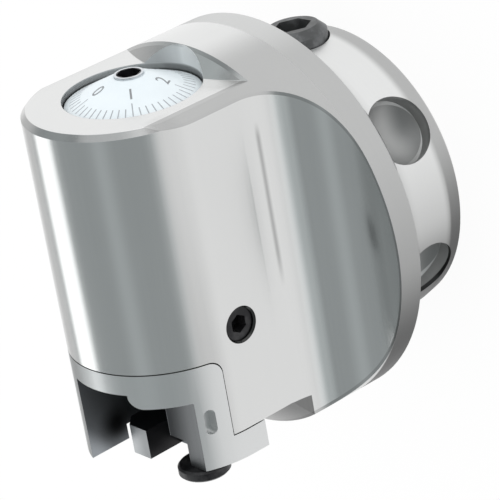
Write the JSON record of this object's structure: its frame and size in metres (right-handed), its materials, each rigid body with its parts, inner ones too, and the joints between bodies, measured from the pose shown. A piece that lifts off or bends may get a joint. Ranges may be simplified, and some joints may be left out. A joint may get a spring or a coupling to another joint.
{
  "type": "boring head",
  "caption": "Fine boring head with a disc flange, rear coupling ring, round-nosed body, graduated dial, micrometer-driven tool slide, holder seat and lock screw.",
  "frame": {"origin": "centre of the rear face of the coupling ring, on the spindle axis", "axes": "+Z along the spindle axis from the coupling to the nose, +X out of the graduated dial, -X the way the tool slide leaves, -Y out of the lock screw"},
  "size_m": [0.096, 0.096, 0.0883],
  "materials": {
    "head_steel": "satin",
    "slide_steel": "satin",
    "dial_white": "satin",
    "black_steel": "satin",
    "ground_steel": "satin",
    "ball_steel": "polished",
    "bronze": "satin",
    "seal_rubber": "matt"
  },
  "bodies": {
    "head": {"head_body": "head_steel", "index_ring": "ground_steel", "thrust_race": "ground_steel", "thrust_washer": "ground_steel", "preload_springs": "ground_steel", "bearing_nut": "black_steel", "slide_key": "ground_steel", "lock_pad": "bronze", "clamp_thrust_pad": "bronze", "drive_bushes": "ground_steel", "coolant_bush": "ground_steel", "coolant_seal": "seal_rubber", "coolant_nozzle": "bronze"},
    "micrometer": {"micrometer_screw": "black_steel", "dial_bush": "bronze", "graduated_dial": "dial_white", "dial_seal": "seal_rubber"},
    "bearing": {"thrust_balls": "ball_steel", "ball_cage": "bronze"},
    "slide": {"tool_slide": "slide_steel", "slide_nut": "bronze", "nut_retainer": "black_steel", "slide_seal": "seal_rubber", "holder_key": "ground_steel", "key_screw": "black_steel"},
    "holder_clamp": {"holder_clamp_screw": "black_steel"},
    "lock": {"lock_screw": "black_steel"},
    "coupling_clamp": {"coupling_clamp_screw": "black_steel"}
  },
  "joints": [
    {"name": "dial_turn", "type": "hinge", "parent": "head", "child": "micrometer", "pos_m": [0.0413, 0, 0.062], "axis": [1, 0, 0], "range_deg": [0, 3600]},
    {"name": "bearing_turn", "type": "hinge", "parent": "head", "child": "bearing", "pos_m": [0.0185, 0, 0.062], "axis": [1, 0, 0], "range_deg": [0, 1800]},
    {"name": "slide_travel", "type": "slide", "parent": "head", "child": "slide", "axis": [-1, 0, 0], "range_m": [0, 0.005]},
    {"name": "holder_clamp_turn", "type": "hinge", "parent": "slide", "child": "holder_clamp", "pos_m": [-0.043, -0.0158, 0.073], "axis": [-1, 0, 0], "continuous": true},
    {"name": "lock_turn", "type": "hinge", "parent": "head", "child": "lock", "pos_m": [-0.0106, -0.0231, 0.0615], "axis": [0, -1, 0], "continuous": true},
    {"name": "coupling_clamp_turn", "type": "hinge", "parent": "head", "child": "coupling_clamp", "pos_m": [0.03977, 0.00153, 0.0115], "axis": [0.9993, 0.0384, 0], "continuous": true}
  ],
  "couplings": [
    {"joint": "dial_turn", "follows": "slide_travel", "rad_per_m": 12566},
    {"joint": "bearing_turn", "follows": "slide_travel", "rad_per_m": 6283.2}
  ]
}
